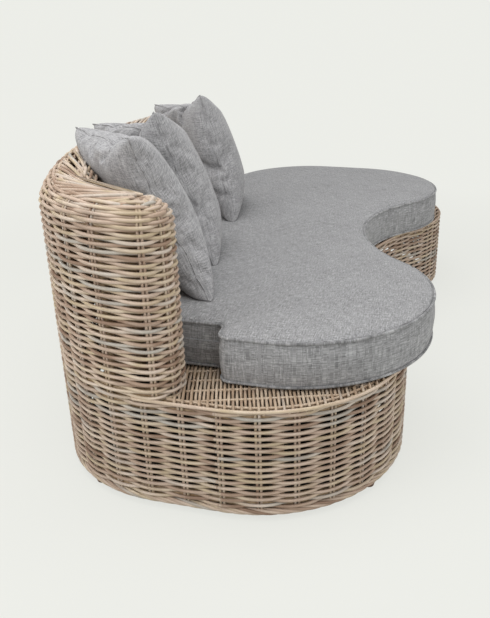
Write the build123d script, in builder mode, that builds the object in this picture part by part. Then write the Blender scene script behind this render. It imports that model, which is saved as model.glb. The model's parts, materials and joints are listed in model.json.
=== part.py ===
from build123d import *

import os
from math import acos, atan2, cos, degrees, radians, sin, sqrt

os.makedirs("parts", exist_ok=True)

# Garden sofa with a kidney-shaped seat, woven over a frame of bent poles, in millimetres.
# X runs along the sofa, the open front faces -Y, Z is up, and the floor is at zero.
# A depth is measured back from the foremost line of the frame, and spot() turns it into Y.

# Frame, seen from above
frame_length = 2200.0
frame_depth = 1140.0
frame_hollow_radius = 848.0
lobe_radius_share = 0.344
corner_radius_share = 0.328
corner_depth_share = 0.504

# Heights
ground_gap = 15.0
base_height = 310.0
back_height = 790.0

# Back
back_thickness = 150.0
back_open_end = 375.0
post_spacing = 170.0
tie_height = 505.0

# Weave and poles
weave_thickness = 12.0
braid_radius = 9.0
rim_radius = 6.0
pole_radius = 14.0
seat_gap = 0.3

# Base
foot_spacing = 640.0
foot_top_radius = 19.0
foot_bottom_radius = 15.0
floor_ring_height = 44.0
base_post_spacing = 235.0
slat_count = 13
slat_end_gap = 200.0
bearer_end_gap = 170.0
front_bearer_gap = 138.0
rear_bearer_gap = 380.0
leg_radius = 16.0
leg_end_gap = 500.0

# Screws
screw_radius = 2.5
screw_length = 46.0
foot_screw_length = 42.0
screw_head_radius = 4.5
screw_head_height = 3.0
screw_clearance = 0.2

# Seat cushion, seen from above
cushion_lobe_inset = 22.0
cushion_end_gap = 116.0
cushion_overhang = 53.0
cushion_far_setback = 25.0
cushion_hollow_radius = 520.0
cushion_far_corner_radius = 360.0
cushion_near_corner_radius = 187.0
cushion_side_gap = 37.0
cushion_rear_gap = 60.0
cushion_step_gap = 70.0
step_inner_radius = 25.0
step_outer_radius = 30.0

# Seat cushion, from the side
cushion_side_height = 125.0
crown_insets = (26.0, 60.0, 120.0)
crown_heights = (5.0, 10.0, 12.0)
cover_thickness = 2.0
piping_radius = 4.0
zip_share = 0.9
zip_height = 8.0
zip_tape_thickness = 1.4

# Back pillows
pillow_thickness = 150.0
pillow_edge = 12.0
pillow_draw = 12.0
pillow_wall = 3.0
pillow_seam_allowance = 14.0
pillow_zip_width = 7.0
pillow_zip_thickness = 3.0
pillow_zip_share = 0.7
pillow_section_shares = (0.0, 0.12, 0.32, 0.5, 0.68, 0.88, 1.0)
swell_power_share = 0.6

# Corners of the pillows, near bottom, far bottom, near top, far top: distance from the frame's near end,
# distance in front of the back, and rise above the seat cushion
near_pillow_corners = ((285, 280, 0), (619, 163, 0), (238, 90, 416), (500, 8, 396))
middle_pillow_corners = ((549, 319, 0), (923, 228, 0), (502, 163, 436), (745, 8, 398))
far_pillow_corners = ((1027, 368, 0), (1406, 166, 0), (997, 204, 427), (1236, 8, 398))

half = 0.5

# Lengths seen from above that follow from the sizes above
frame_end = frame_length * half
frame_lobe_radius = frame_depth * lobe_radius_share
frame_corner_radius = frame_depth * corner_radius_share
frame_corner_depth = frame_depth * corner_depth_share
cushion_lobe_radius = frame_lobe_radius - cushion_lobe_inset
cushion_near_edge = cushion_end_gap - frame_end
cushion_rear_line = frame_depth - back_thickness - cushion_rear_gap
bearer_length = frame_length - 2 * bearer_end_gap
leg_reach = frame_end - leg_end_gap

# Heights that follow from the sizes above
seat_ring_height = base_height - weave_thickness - pole_radius
sill_height = seat_ring_height + 2 * pole_radius + seat_gap
bearer_height = seat_ring_height - 2 * pole_radius - seat_gap
crest_radius = back_thickness * half
crest_height = back_height - crest_radius
cushion_floor = base_height + seat_gap
cushion_edge = cushion_floor + cushion_side_height

# Insets that follow from the sizes above
pole_inset = weave_thickness + seat_gap + pole_radius
inner_pole_inset = back_thickness - pole_inset
cavity_radius = crest_radius - weave_thickness

# The origin lies midway between the rear of the frame and the foremost piping of the cushion
front_reach = cushion_overhang + seat_gap + 2 * piping_radius
origin_depth = (frame_depth - front_reach) * half

seated = (Align.CENTER, Align.CENTER, Align.MIN)


def spot(x, depth):
    return Vector(x, depth - origin_depth)


def radial(centre, radius, bearing):
    return centre + Vector(cos(radians(bearing)), sin(radians(bearing))) * radius


def bearing_of(start, end):
    return degrees(atan2(end.Y - start.Y, end.X - start.X))


def rear_centre_behind(corner, corner_radius, rear_point):
    # centre of the bowed rear that passes through rear_point and touches the corner's circle
    reach = rear_point.Y - corner_radius
    rise = (corner.X**2 + corner.Y**2 - reach**2) / (2 * corner.Y - 2 * reach)
    return Vector(0, rise)


class Outline:
    # A kidney seen from above: two lobes with a hollow between them, and a bowed rear between two corners.
    # An inset moves every line inwards and leaves the centres of its arcs where they are.

    def __init__(self, lobes, lobe_radius, hollow_radius, corners, corner_radii, rear, rear_radius):
        self.near_lobe, self.far_lobe = lobes
        self.lobe_radius = lobe_radius
        self.hollow_radius = hollow_radius
        self.near_corner, self.far_corner = corners
        self.near_corner_radius, self.far_corner_radius = corner_radii
        self.rear = rear
        self.rear_radius = rear_radius
        half_span = (self.far_lobe - self.near_lobe) * half
        rise = sqrt((hollow_radius + lobe_radius) ** 2 - half_span.length**2)
        forward = Vector(half_span.Y, -half_span.X).normalized()
        self.hollow = self.near_lobe + half_span + forward * rise
        self.near_turn = bearing_of(self.near_lobe, self.hollow)
        self.far_turn = bearing_of(self.far_lobe, self.hollow)
        self.near_bearing = bearing_of(rear, self.near_corner)
        self.far_bearing = bearing_of(rear, self.far_corner)

    def front_arcs(self, inset):
        radius = self.lobe_radius - inset
        return [
            (self.near_lobe, radius, 180, 180 + self.near_turn),
            (self.hollow, self.hollow_radius + inset, 180 + self.near_turn, self.far_turn - self.near_turn),
            (self.far_lobe, radius, self.far_turn, -self.far_turn),
        ]

    def back_arcs(self, inset, open_bearing):
        # the near corner and the bowed rear, as far as a bearing from the rear's centre
        near = (self.near_corner, self.near_corner_radius - inset, self.near_bearing, 180 - self.near_bearing)
        rear = (self.rear, self.rear_radius - inset, open_bearing, self.near_bearing - open_bearing)
        return [rear, near]

    def far_arc(self, inset, turn):
        return (self.far_corner, self.far_corner_radius - inset, 0, turn)

    def draw_front(self, inset):
        for arc in self.front_arcs(inset):
            CenterArc(*arc)
        lobe_end = radial(self.far_lobe, self.lobe_radius - inset, 0)
        Line(lobe_end, radial(self.far_corner, self.far_corner_radius - inset, 0))

    def draw_near_end(self, inset):
        corner_end = radial(self.near_corner, self.near_corner_radius - inset, 180)
        Line(corner_end, radial(self.near_lobe, self.lobe_radius - inset, 180))

    def draw_bowed(self, inset):
        # the whole outline, with a rear that is one bow from corner to corner
        self.draw_front(inset)
        CenterArc(*self.far_arc(inset, self.far_bearing))
        for arc in self.back_arcs(inset, self.far_bearing):
            CenterArc(*arc)
        self.draw_near_end(inset)

    def draw_straight_rear(self, inset):
        # as far as the near corner, with a rear that runs straight from the far corner to the middle
        self.draw_front(inset)
        CenterArc(*self.far_arc(inset, 90))
        corner_top = radial(self.far_corner, self.far_corner_radius - inset, 90)
        Line(corner_top, radial(self.rear, self.rear_radius - inset, 90))
        for arc in self.back_arcs(inset, 90):
            CenterArc(*arc)

    def front_at(self, x, inset):
        # Y of the front line at x
        for lobe in (self.near_lobe, self.far_lobe):
            outside = abs(x) >= abs(radial(lobe, self.lobe_radius, bearing_of(lobe, self.hollow)).X)
            if outside and x * lobe.X > 0:
                return lobe.Y - sqrt((self.lobe_radius - inset) ** 2 - (x - lobe.X) ** 2)
        return self.hollow.Y + sqrt((self.hollow_radius + inset) ** 2 - (x - self.hollow.X) ** 2)

    def rear_at(self, x, inset):
        # Y of the rear line at x
        for corner, radius in (
            (self.near_corner, self.near_corner_radius),
            (self.far_corner, self.far_corner_radius),
        ):
            outside = abs(x) >= abs(radial(corner, radius, bearing_of(self.rear, corner)).X)
            if outside and x * corner.X > 0:
                return corner.Y + sqrt((radius - inset) ** 2 - (x - corner.X) ** 2)
        return self.rear.Y + sqrt((self.rear_radius - inset) ** 2 - (x - self.rear.X) ** 2)


def frame_outline():
    lobe_x = frame_end - frame_lobe_radius
    corner_x = frame_end - frame_corner_radius
    corner = Vector(corner_x, frame_corner_depth)
    rear_depth = rear_centre_behind(corner, frame_corner_radius, Vector(0, frame_depth)).Y
    return Outline(
        (spot(-lobe_x, frame_lobe_radius), spot(lobe_x, frame_lobe_radius)),
        frame_lobe_radius,
        frame_hollow_radius,
        (spot(-corner_x, frame_corner_depth), spot(corner_x, frame_corner_depth)),
        (frame_corner_radius, frame_corner_radius),
        spot(0, rear_depth),
        frame_depth - rear_depth,
    )


def cushion_outline(corner_radius):
    # the near corner is an arc that touches a bowed rear, which is bowed as the frame's is
    side_line = back_thickness + cushion_side_gap - frame_end
    corner_x = side_line + cushion_near_corner_radius
    rear_middle = Vector(0, cushion_rear_line)
    bow_corner = Vector(corner_x, frame_corner_depth)
    rear_depth = rear_centre_behind(bow_corner, cushion_near_corner_radius, rear_middle).Y
    rear_radius = cushion_rear_line - rear_depth
    corner_rise = sqrt((rear_radius - corner_radius) ** 2 - corner_x**2)
    near_lobe_depth = cushion_lobe_radius - cushion_overhang
    far_lobe_depth = cushion_lobe_radius + cushion_far_setback
    far_corner_x = -cushion_near_edge - cushion_far_corner_radius
    return Outline(
        (
            spot(cushion_near_edge + cushion_lobe_radius, near_lobe_depth),
            spot(-cushion_near_edge - cushion_lobe_radius, far_lobe_depth),
        ),
        cushion_lobe_radius,
        cushion_hollow_radius,
        (
            spot(corner_x, rear_depth + corner_rise),
            spot(far_corner_x, cushion_rear_line - cushion_far_corner_radius),
        ),
        (corner_radius, cushion_far_corner_radius),
        spot(0, rear_depth),
        rear_radius,
    )


frame = frame_outline()
back_bearing = degrees(acos(back_open_end / (frame.rear_radius - crest_radius)))
near_nose = radial(frame.near_corner, frame_corner_radius - crest_radius, 180)
far_nose = radial(frame.rear, frame.rear_radius - crest_radius, back_bearing)

cushion = cushion_outline(cushion_near_corner_radius)
cushion_near_bulk = cushion_outline(cushion.near_corner.X - cushion_near_edge)
cushion_side_line = cushion.near_corner.X - cushion_near_corner_radius
step_line = near_nose.Y - crest_radius - cushion_step_gap


def draw_cushion(inset):
    # the cushion's outline, with the step that lets its side pass inside the end of the back
    cushion.draw_straight_rear(inset)
    side_x = cushion_side_line + inset
    edge_x = cushion_near_edge + inset
    step_y = step_line - inset
    inner = Vector(cushion_side_line - step_inner_radius, step_line + step_inner_radius)
    outer = Vector(cushion_near_edge + step_outer_radius, step_line - step_outer_radius)
    outer_radius = step_outer_radius - inset
    Line((side_x, cushion.near_corner.Y), (side_x, inner.Y))
    CenterArc(inner, step_inner_radius + inset, 0, -90)
    Line((inner.X, step_y), (outer.X, step_y))
    CenterArc(outer, outer_radius, 90, 90)
    Line((edge_x, outer.Y), (edge_x, cushion.near_lobe.Y))


def draw_back_band(outer_inset, inner_inset):
    # a strip of the back, seen from above, between two insets of the frame
    for inset in (outer_inset, inner_inset):
        for arc in frame.back_arcs(inset, back_bearing):
            CenterArc(*arc)
    for centre, radius, bearing in (
        (frame.near_corner, frame.near_corner_radius, 180),
        (frame.rear, frame.rear_radius, back_bearing),
    ):
        Line(radial(centre, radius - outer_inset, bearing), radial(centre, radius - inner_inset, bearing))


def draw_back_loop(inset):
    # the closed line round the whole back, with both its rounded ends
    for side_inset in (inset, back_thickness - inset):
        for arc in frame.back_arcs(side_inset, back_bearing):
            CenterArc(*arc)
    CenterArc(near_nose, crest_radius - inset, 180, 180)
    CenterArc(far_nose, crest_radius - inset, back_bearing, -180)


def wire_at(height, draw, inset):
    with BuildLine() as line:
        draw(inset)
    return line.wires()[0].moved(Location((0, 0, height)))


def bend_pole(wire, radius):
    # a round pole bent along a wire
    with BuildSketch(Plane(origin=wire @ 0, z_dir=wire % 0)) as section:
        Circle(radius)
    sweep(section.sketch, path=wire)


def stations(arcs, spacing):
    # evenly spaced points along arcs, each with the bearing that points out of the frame
    for centre, radius, start, turn in arcs:
        count = max(1, round(radians(abs(turn)) * radius / spacing))
        for step in range(count):
            bearing = start + turn * (step + half) / count
            yield radial(centre, radius, bearing), bearing if turn > 0 else bearing + 180


def ring_arcs():
    arcs = frame.front_arcs(pole_inset) + [frame.far_arc(pole_inset, frame.far_bearing)]
    return arcs + frame.back_arcs(pole_inset, frame.far_bearing)


def stand_pole(point, low, high, radius):
    with Locations((point.X, point.Y, low)):
        Cylinder(radius, high - low, align=seated)


def screw_up(point, head_height, length, clearance, mode=Mode.ADD):
    # a screw, or the hole for it, that stands on its head
    with Locations((point.X, point.Y, head_height - clearance)):
        Cylinder(screw_head_radius + clearance, screw_head_height + clearance, align=seated, mode=mode)
        Cylinder(screw_radius + clearance, length + 2 * clearance, align=seated, mode=mode)


def screw_down(point, head_height, length, clearance, mode=Mode.ADD):
    # the same, hanging from its head
    hanging = (Align.CENTER, Align.CENTER, Align.MAX)
    with Locations((point.X, point.Y, head_height + clearance)):
        Cylinder(screw_head_radius + clearance, screw_head_height + clearance, align=hanging, mode=mode)
        Cylinder(screw_radius + clearance, length + 2 * clearance, align=hanging, mode=mode)


feet_points = [point for point, bearing in stations(ring_arcs(), foot_spacing)]
foot_pad_height = ground_gap - seat_gap
foot_neck_radius = pole_inset - 2 * braid_radius - seat_gap
post_points = [point for point, bearing in stations(ring_arcs(), base_post_spacing)]
foot_height = floor_ring_height - pole_radius - seat_gap
foot_screw_base = screw_head_height
seat_screw_top = seat_ring_height + pole_radius - seat_gap


# Feet: a pad under the woven edge and a neck up to the floor ring, with a screw sunk in the underside

with BuildPart() as feet:
    for point in feet_points:
        with Locations((point.X, point.Y, 0)):
            Cone(foot_bottom_radius, foot_top_radius, foot_pad_height, align=seated)
            Cylinder(foot_neck_radius, foot_height, align=seated)
        screw_up(point, foot_screw_base, foot_screw_length, screw_clearance, Mode.SUBTRACT)
        with Locations((point.X, point.Y, 0)):
            Cylinder(
                screw_head_radius + screw_clearance, foot_screw_base, align=seated, mode=Mode.SUBTRACT
            )
feet.part.label = "feet"
export_step(feet.part, "parts/feet.step")

with BuildPart() as foot_screws:
    for point in feet_points:
        screw_up(point, foot_screw_base, foot_screw_length, 0)
foot_screws.part.label = "foot_screws"
export_step(foot_screws.part, "parts/foot_screws.step")


# Poles of the base

with BuildPart() as floor_ring:
    bend_pole(wire_at(floor_ring_height, frame.draw_bowed, pole_inset), pole_radius)
    for point in feet_points:
        screw_up(point, foot_screw_base, foot_screw_length, screw_clearance, Mode.SUBTRACT)
floor_ring.part.label = "floor_ring"
export_step(floor_ring.part, "parts/floor_ring.step")

with BuildPart() as base_posts:
    for point in post_points:
        post_top = seat_ring_height - pole_radius - seat_gap
        stand_pole(point, floor_ring_height + pole_radius + seat_gap, post_top, pole_radius)
        screw_down(point, seat_screw_top, screw_length, screw_clearance, Mode.SUBTRACT)
base_posts.part.label = "base_posts"
export_step(base_posts.part, "parts/base_posts.step")

with BuildPart() as seat_ring:
    bend_pole(wire_at(seat_ring_height, frame.draw_bowed, pole_inset), pole_radius)
    for point in post_points:
        screw_down(point, seat_screw_top, screw_length, screw_clearance, Mode.SUBTRACT)
        with Locations((point.X, point.Y, seat_screw_top)):
            Cylinder(screw_head_radius + screw_clearance, pole_radius, align=seated, mode=Mode.SUBTRACT)
seat_ring.part.label = "seat_ring"
export_step(seat_ring.part, "parts/seat_ring.step")

with BuildPart() as ring_screws:
    for point in post_points:
        screw_down(point, seat_screw_top, screw_length, 0)
ring_screws.part.label = "ring_screws"
export_step(ring_screws.part, "parts/ring_screws.step")


def slat_ends(x):
    # front and rear Y where a cross pole stops just inside the seat ring
    ring_inner = pole_inset + pole_radius + seat_gap
    sides = (x - pole_radius, x + pole_radius)
    front = max(frame.front_at(side, ring_inner) for side in sides)
    rear = min(frame.rear_at(side, ring_inner) for side in sides)
    return front, rear


with BuildPart() as seat_slats:
    slat_pitch = 2 * (frame_end - slat_end_gap) / (slat_count - 1)
    for step in range(slat_count):
        slat_x = (step - (slat_count - 1) * half) * slat_pitch
        front, rear = slat_ends(slat_x)
        with BuildSketch(Plane(origin=(slat_x, front, seat_ring_height), z_dir=(0, 1, 0))):
            Circle(pole_radius)
        extrude(amount=rear - front)
seat_slats.part.label = "seat_slats"
export_step(seat_slats.part, "parts/seat_slats.step")

bearer_lines = (frame.front_at(0, 0) + front_bearer_gap, frame.rear_at(0, 0) - rear_bearer_gap)

for name, bearer_y in zip(("front_bearer", "rear_bearer"), bearer_lines):
    with BuildPart() as bearer:
        with BuildSketch(Plane(origin=(-bearer_length * half, bearer_y, bearer_height), z_dir=(1, 0, 0))):
            Circle(pole_radius)
        extrude(amount=bearer_length)
    bearer.part.label = name
    export_step(bearer.part, f"parts/{name}.step")

with BuildPart() as bearer_legs:
    for bearer_y in bearer_lines:
        for leg_x in (-leg_reach, leg_reach):
            stand_pole(Vector(leg_x, bearer_y), 0, bearer_height - pole_radius - seat_gap, leg_radius)
bearer_legs.part.label = "bearer_legs"
export_step(bearer_legs.part, "parts/bearer_legs.step")


# Poles of the back: a loop at the seat, a loop under the crest, and posts and ties between them

for name, height in (("sill_rail", sill_height), ("crest_rail", crest_height)):
    with BuildPart() as rail:
        bend_pole(wire_at(height, draw_back_loop, pole_inset), pole_radius)
    rail.part.label = name
    export_step(rail.part, f"parts/{name}.step")

post_low = sill_height + pole_radius + seat_gap
post_high = crest_height - pole_radius - seat_gap

for name, inset in (("back_posts_outer", pole_inset), ("back_posts_inner", inner_pole_inset)):
    with BuildPart() as back_posts:
        outer_stations = stations(frame.back_arcs(pole_inset, back_bearing), post_spacing)
        for point, bearing in outer_stations:
            stand_pole(radial(point, inset - pole_inset, bearing + 180), post_low, post_high, pole_radius)
    back_posts.part.label = name
    export_step(back_posts.part, f"parts/{name}.step")

with BuildPart() as back_end_posts:
    nose_reach = crest_radius - pole_inset
    stand_pole(radial(near_nose, nose_reach, 270), post_low, post_high, pole_radius)
    stand_pole(radial(far_nose, nose_reach, back_bearing - 90), post_low, post_high, pole_radius)
back_end_posts.part.label = "back_end_posts"
export_step(back_end_posts.part, "parts/back_end_posts.step")

with BuildPart() as back_ties:
    tie_length = inner_pole_inset - pole_inset - 2 * (pole_radius + seat_gap)
    for point, bearing in stations(frame.back_arcs(pole_inset, back_bearing), post_spacing):
        inward = radial(Vector(0, 0), 1, bearing + 180)
        start = point + inward * (pole_radius + seat_gap)
        with BuildSketch(Plane(origin=(start.X, start.Y, tie_height), z_dir=inward)):
            Circle(pole_radius * half)
        extrude(amount=tie_length)
back_ties.part.label = "back_ties"
export_step(back_ties.part, "parts/back_ties.step")


# Woven skins of the base and the seat

with BuildPart() as bottom_braid:
    bend_pole(wire_at(ground_gap + braid_radius, frame.draw_bowed, braid_radius), braid_radius)
bottom_braid.part.label = "bottom_braid"
export_step(bottom_braid.part, "parts/bottom_braid.step")

base_weave_low = ground_gap + 2 * braid_radius + seat_gap
base_weave_high = base_height - 2 * rim_radius - seat_gap

with BuildPart() as base_weave:
    with BuildSketch(Plane.XY.offset(base_weave_low)):
        with BuildLine():
            frame.draw_bowed(0)
        make_face()
        with BuildLine():
            frame.draw_bowed(weave_thickness)
        make_face(mode=Mode.SUBTRACT)
    extrude(amount=base_weave_high - base_weave_low)
base_weave.part.label = "base_weave"
export_step(base_weave.part, "parts/base_weave.step")

with BuildPart() as rim_strand:
    bend_pole(wire_at(base_height - rim_radius, frame.draw_bowed, rim_radius), rim_radius)
rim_strand.part.label = "rim_strand"
export_step(rim_strand.part, "parts/rim_strand.step")

deck_low = seat_ring_height + pole_radius + seat_gap

with BuildPart() as seat_deck_weave:
    with BuildSketch(Plane.XY.offset(deck_low)):
        with BuildLine():
            frame.draw_bowed(2 * rim_radius + seat_gap)
        make_face()
        with BuildLine():
            draw_back_band(0, back_thickness - weave_thickness)
        make_face(mode=Mode.SUBTRACT)
        with Locations(near_nose, far_nose):
            Circle(cavity_radius, mode=Mode.SUBTRACT)
    extrude(amount=base_height - deck_low)
seat_deck_weave.part.label = "seat_deck_weave"
export_step(seat_deck_weave.part, "parts/seat_deck_weave.step")


# Woven skins of the back

back_skin_low = base_height + seat_gap
back_skin_height = crest_height - back_skin_low

for name, outer_inset in (("back_weave_outer", 0), ("back_weave_inner", back_thickness - weave_thickness)):
    with BuildPart() as back_skin:
        with BuildSketch(Plane.XY.offset(back_skin_low)):
            with BuildLine():
                draw_back_band(outer_inset, outer_inset + weave_thickness)
            make_face()
        extrude(amount=back_skin_height)
    back_skin.part.label = name
    export_step(back_skin.part, f"parts/{name}.step")

for name, nose, start, turn in (
    ("back_weave_near_end", near_nose, 180, 180),
    ("back_weave_far_end", far_nose, back_bearing, -180),
):
    with BuildPart() as end_skin:
        with BuildSketch(Plane.XY.offset(back_skin_low)):
            with BuildLine():
                CenterArc(nose, crest_radius, start, turn)
                CenterArc(nose, cavity_radius, start, turn)
                for bearing in (start, start + turn):
                    Line(radial(nose, crest_radius, bearing), radial(nose, cavity_radius, bearing))
            make_face()
        extrude(amount=back_skin_height)
    end_skin.part.label = name
    export_step(end_skin.part, f"parts/{name}.step")


def turn_crest(centre, path_radius, start, turn, section_turn):
    # part of the crest, turned about a centre; its section is half a ring, or a quarter at a rounded end
    outward = radial(Vector(0, 0), 1, start)
    origin = Vector(centre.X, centre.Y, crest_height)
    with BuildSketch(Plane(origin=origin, x_dir=outward, z_dir=(outward.Y, -outward.X, 0))) as section:
        with BuildLine():
            middle = Vector(path_radius, 0)
            CenterArc(middle, crest_radius, 0, section_turn)
            CenterArc(middle, cavity_radius, 0, section_turn)
            for bearing in (0, section_turn):
                Line(radial(middle, crest_radius, bearing), radial(middle, cavity_radius, bearing))
        make_face()
    revolve(section.sketch, axis=Axis(origin, (0, 0, 1)), revolution_arc=turn)


with BuildPart() as back_weave_crest:
    for centre, path_radius, start, turn in frame.back_arcs(crest_radius, back_bearing):
        turn_crest(centre, path_radius, start, turn, 180)
    turn_crest(near_nose, 0, 180, 180, 90)
    turn_crest(far_nose, 0, back_bearing - 180, 180, 90)
back_weave_crest.part.label = "back_weave_crest"
export_step(back_weave_crest.part, "parts/back_weave_crest.step")


# Seat cushion: a foam core in a piped cover, crowned on top, with a zip in its rear side


def cushion_body(inset, mode=Mode.ADD):
    low = cushion_floor + inset
    edge = cushion_edge - inset
    with BuildPart(mode=Mode.PRIVATE) as body:
        with BuildSketch(Plane.XY.offset(low)):
            with BuildLine():
                draw_cushion(inset)
            make_face()
        extrude(amount=edge - low)
    with BuildPart(mode=Mode.PRIVATE) as crown:
        for rise, extra in zip((0,) + crown_heights, (0,) + crown_insets):
            with BuildSketch(Plane.XY.offset(edge + rise)):
                with BuildLine():
                    cushion_near_bulk.draw_straight_rear(inset + extra)
                    cushion_near_bulk.draw_near_end(inset + extra)
                make_face()
        loft()
    with BuildPart(mode=Mode.PRIVATE) as column:
        with BuildSketch(Plane.XY.offset(edge)):
            with BuildLine():
                draw_cushion(inset)
            make_face()
        extrude(amount=2 * crown_heights[-1])
        add(crown.part, mode=Mode.INTERSECT)
    add(body.part, mode=mode)
    add(column.part, mode=mode)


zip_x = cushion.far_corner.X * half
zip_length = cushion.far_corner.X * zip_share
rear_y = cushion.far_corner.Y + cushion_far_corner_radius
zip_z = cushion_floor + cushion_side_height * half

with BuildPart() as seat_cushion_cover:
    cushion_body(0)
    cushion_body(cover_thickness, Mode.SUBTRACT)
    with Locations((zip_x, rear_y, zip_z)):
        Box(zip_length, 2 * cover_thickness + seat_gap, zip_height, mode=Mode.SUBTRACT)
seat_cushion_cover.part.label = "seat_cushion_cover"
export_step(seat_cushion_cover.part, "parts/seat_cushion_cover.step")

with BuildPart() as seat_cushion_foam:
    cushion_body(cover_thickness + seat_gap)
seat_cushion_foam.part.label = "seat_cushion_foam"
export_step(seat_cushion_foam.part, "parts/seat_cushion_foam.step")

with BuildPart() as seat_zip:
    with Locations((zip_x, rear_y - zip_tape_thickness * half - seat_gap, zip_z)):
        Box(zip_length - 2 * seat_gap, zip_tape_thickness, zip_height - 2 * seat_gap)
seat_zip.part.label = "seat_zip"
export_step(seat_zip.part, "parts/seat_zip.step")

piping_inset = -piping_radius - seat_gap
for name, height in (
    ("seat_piping_bottom", cushion_floor + piping_radius),
    ("seat_piping_top", cushion_edge - piping_radius),
):
    with BuildPart() as piping:
        bend_pole(wire_at(height, draw_cushion, piping_inset), piping_radius)
    piping.part.label = name
    export_step(piping.part, f"parts/{name}.step")


# Back pillows: each is a crowned square between its four corners

pillow_floor = cushion_edge + crown_heights[-1] + seat_gap


def corner_points(corners):
    points = []
    for end_distance, back_distance, rise in corners:
        x = end_distance - frame_end
        points.append(Vector(x, frame.rear_at(x, back_thickness) - back_distance, pillow_floor + rise))
    return points


def pillow_frame(low, high, across):
    # unit vectors up the pillow and out of its face
    up = (high - low).normalized()
    return up, up.cross(across).normalized()


def pillow_body(corners, inset, mode=Mode.ADD):
    near_low, far_low, near_high, far_high = corner_points(corners)
    across = far_low - near_low + far_high - near_high
    side_margin = inset / (far_low - near_low).length
    sections = []
    for share in pillow_section_shares:
        place = side_margin * half + share * (1 - side_margin)
        low = near_low + (far_low - near_low) * place
        high = near_high + (far_high - near_high) * place
        swell = sin(radians(180 * share)) ** swell_power_share if 0 < share < 1 else 0
        up, facing = pillow_frame(low, high, across)
        low = low + up * (pillow_draw * swell + inset)
        high = high - up * (pillow_draw * swell + inset)
        middle = (low + high) * half
        thickness = pillow_edge + (pillow_thickness - pillow_edge) * swell - inset * half
        plane = Plane(origin=middle, x_dir=facing, z_dir=facing.cross(up))
        rise = (high - low).length * half
        with BuildSketch(plane, mode=Mode.PRIVATE) as section:
            with BuildLine():
                ThreePointArc((0, -rise), (thickness * half, 0), (0, rise))
                ThreePointArc((0, rise), (-thickness * half, 0), (0, -rise))
            make_face()
        sections.append(section.sketch.faces()[0])
    loft(sections, mode=mode)


def pillow_zip_bar(corners):
    # the zip in the seam of the near edge
    near_low, far_low, near_high, far_high = corner_points(corners)
    up, facing = pillow_frame(near_low, near_high, far_low - near_low + far_high - near_high)
    outward = up.cross(facing)
    middle = (near_low + near_high) * half + outward * (pillow_zip_thickness * half + seat_gap)
    with Locations(Plane(origin=middle, x_dir=outward, z_dir=up)):
        Box(pillow_zip_thickness, pillow_zip_width, (near_high - near_low).length * pillow_zip_share)


for name, corners in (
    ("near_pillow", near_pillow_corners),
    ("middle_pillow", middle_pillow_corners),
    ("far_pillow", far_pillow_corners),
):
    with BuildPart() as pillow_cover:
        pillow_body(corners, 0)
        pillow_body(corners, pillow_seam_allowance, Mode.SUBTRACT)
    pillow_cover.part.label = f"{name}_cover"
    export_step(pillow_cover.part, f"parts/{name}_cover.step")

    with BuildPart() as pillow_fill:
        pillow_body(corners, pillow_seam_allowance + pillow_wall)
    pillow_fill.part.label = f"{name}_fill"
    export_step(pillow_fill.part, f"parts/{name}_fill.step")

    with BuildPart() as pillow_zip:
        pillow_zip_bar(corners)
    pillow_zip.part.label = f"{name}_zip"
    export_step(pillow_zip.part, f"parts/{name}_zip.step")
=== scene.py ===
import json
import random
from math import acos, asin, atan2, cos, degrees, pi, radians, sin, sqrt

import bmesh
import bpy
import numpy as np
from mathutils import Matrix, Vector, noise


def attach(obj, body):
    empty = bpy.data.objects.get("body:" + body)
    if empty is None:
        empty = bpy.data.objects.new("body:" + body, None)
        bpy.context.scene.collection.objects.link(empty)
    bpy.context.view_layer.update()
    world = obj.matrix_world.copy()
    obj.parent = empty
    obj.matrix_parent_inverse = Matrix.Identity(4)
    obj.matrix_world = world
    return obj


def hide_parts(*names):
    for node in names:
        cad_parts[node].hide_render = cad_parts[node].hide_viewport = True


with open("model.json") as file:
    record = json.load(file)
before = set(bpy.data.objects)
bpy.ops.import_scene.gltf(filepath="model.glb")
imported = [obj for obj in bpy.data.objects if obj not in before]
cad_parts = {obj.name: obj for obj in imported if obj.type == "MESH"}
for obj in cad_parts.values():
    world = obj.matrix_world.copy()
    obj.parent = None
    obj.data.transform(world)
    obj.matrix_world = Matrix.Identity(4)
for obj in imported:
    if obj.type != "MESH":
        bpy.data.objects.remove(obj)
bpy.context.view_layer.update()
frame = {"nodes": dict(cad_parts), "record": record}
scene = bpy.context.scene


# ---- lines seen from above, as the maker would draw them on the floor

originDepth = 0.53935  # how far the object's origin lies behind the foremost line of the frame


def spot(x, depth):
    return Vector((x, depth - originDepth))


def away(centre, radius, bearing):
    return centre + Vector((cos(radians(bearing)), sin(radians(bearing)))) * radius


def bearingOf(start, end):
    return degrees(atan2(end.y - start.y, end.x - start.x))


class Trail:
    # arcs and straight runs end to end, walked with the outside on the right hand
    def __init__(self):
        self.runs = []

    def arc(self, centre, radius, start, turn):
        self.runs.append(("arc", centre, radius, start, turn, abs(radians(turn)) * radius))
        return self

    def line(self, start, end):
        self.runs.append(("line", start, end, None, None, (end - start).length))
        return self

    def length(self, first=0, last=None):
        # of the whole trail, or of some of its runs
        return sum(run[-1] for run in self.runs[first:last])

    def marks(self):
        # where each run starts, and where the last one ends
        return np.r_[0, np.cumsum([run[-1] for run in self.runs])]

    def at(self, along):
        # the point at a distance along the trail, and the unit vector that points outwards there
        for kind, first, second, start, turn, reach in self.runs:
            if along <= reach:
                break
            along -= reach
        along = min(along, reach)
        if kind == "arc":
            bearing = start + turn * along / reach
            outward = away(Vector((0, 0)), 1, bearing)
            return first + outward * second, outward if turn > 0 else -outward
        heading = (second - first).normalized()
        return first + heading * along, Vector((heading.y, -heading.x))

    def sample(self, count):
        # evenly spaced distances, points and outward vectors round a closed trail
        steps = np.arange(count) * self.length() / count
        found = [self.at(step) for step in steps]
        return steps, np.array([p for p, n in found]), np.array([n for p, n in found])


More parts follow.
